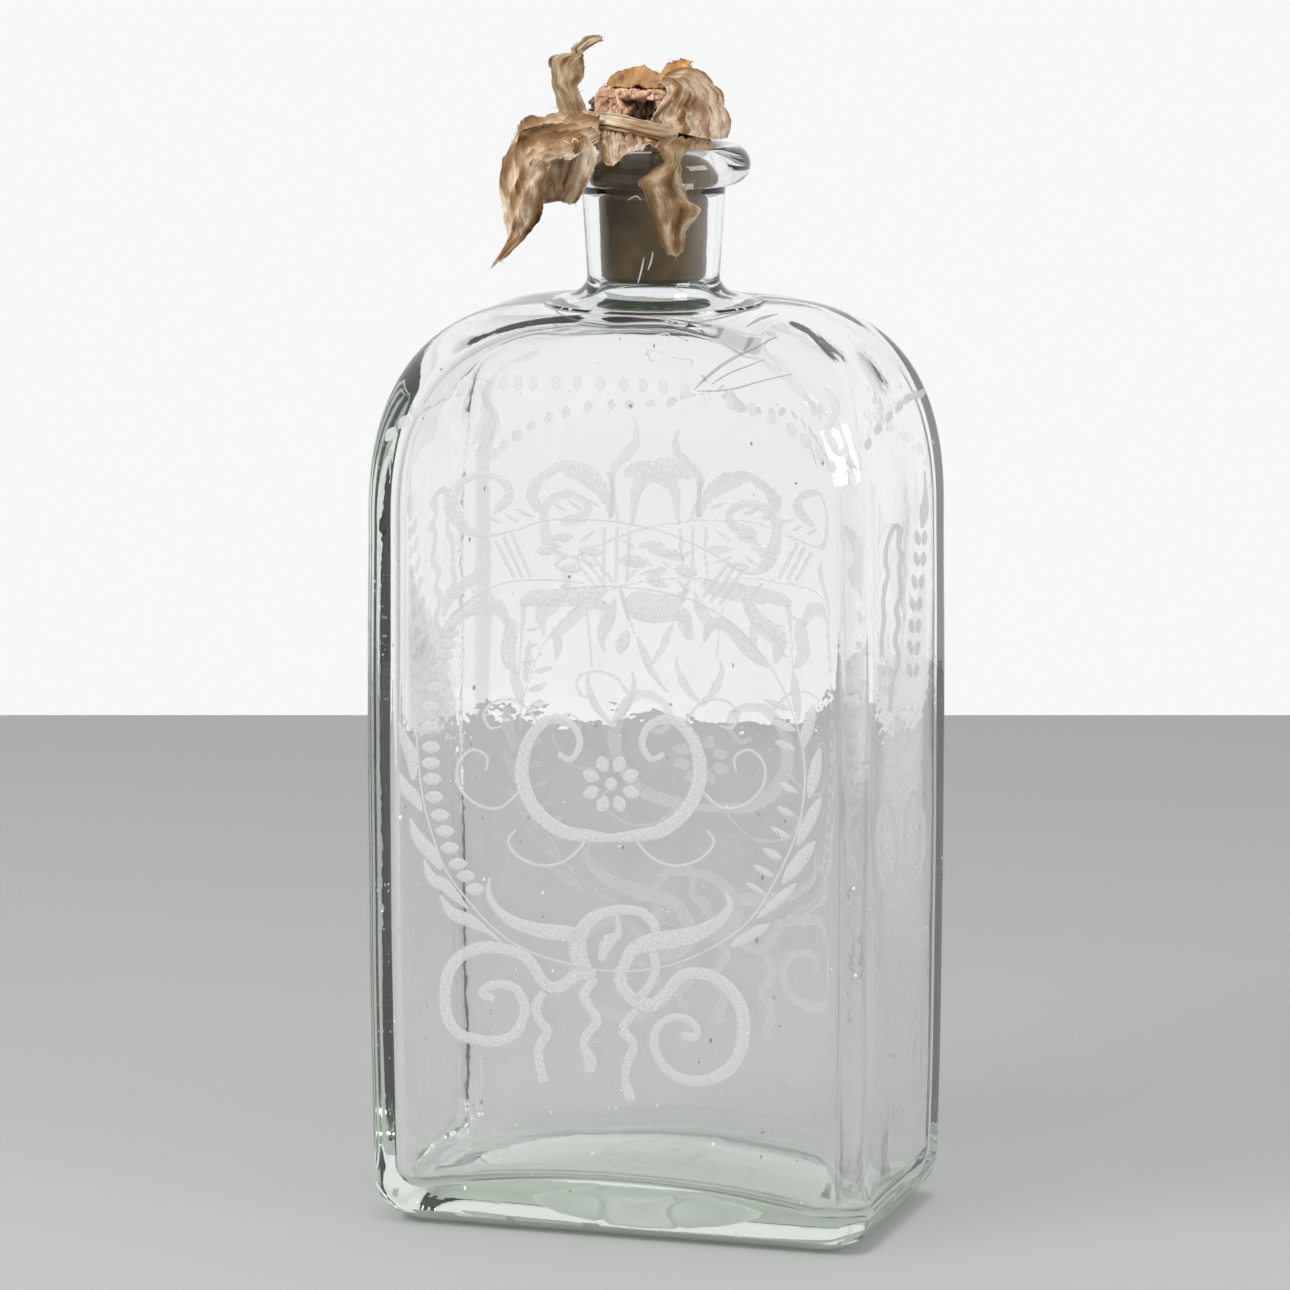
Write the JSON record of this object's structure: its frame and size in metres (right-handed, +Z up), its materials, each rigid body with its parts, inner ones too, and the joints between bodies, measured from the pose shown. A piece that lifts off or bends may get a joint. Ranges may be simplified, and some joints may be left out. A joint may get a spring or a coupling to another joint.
{
  "type": "schnapps bottle",
  "caption": "Flat-sided blown glass spirit bottle with rounded shoulders, short neck and rolled lip, closed by a pull-out cork under a torn dried membrane seal.",
  "frame": {"origin": "middle of the foot, on the plane that the bottle stands on", "axes": "+Z up along the neck, +X along the broad faces, the broad front faces -Y"},
  "size_m": [0.1012, 0.0606, 0.2301],
  "materials": {
    "glass": "clear, faintly green, hand blown, matt wheel-cut ornament",
    "cork": "dry, pitted and crumbling at the head, dark in the neck",
    "membrane": "dried, wrinkled, slightly translucent, torn edges",
    "membrane_amber": "hard, amber, horny"
  },
  "bodies": {
    "bottle": {"glass_bottle": "glass"},
    "stopper": {"cork_stopper": "cork", "membrane_cap": "membrane", "membrane_crown": "membrane_amber", "membrane_band": "membrane", "membrane_pleats": "membrane", "membrane_flap": "membrane", "membrane_tongue": "membrane", "membrane_strip": "membrane"}
  },
  "joints": [
    {"name": "cork_pull", "type": "slide", "parent": "bottle", "child": "stopper", "axis": [0, 0, 1], "range_m": [0, 0.055]}
  ]
}
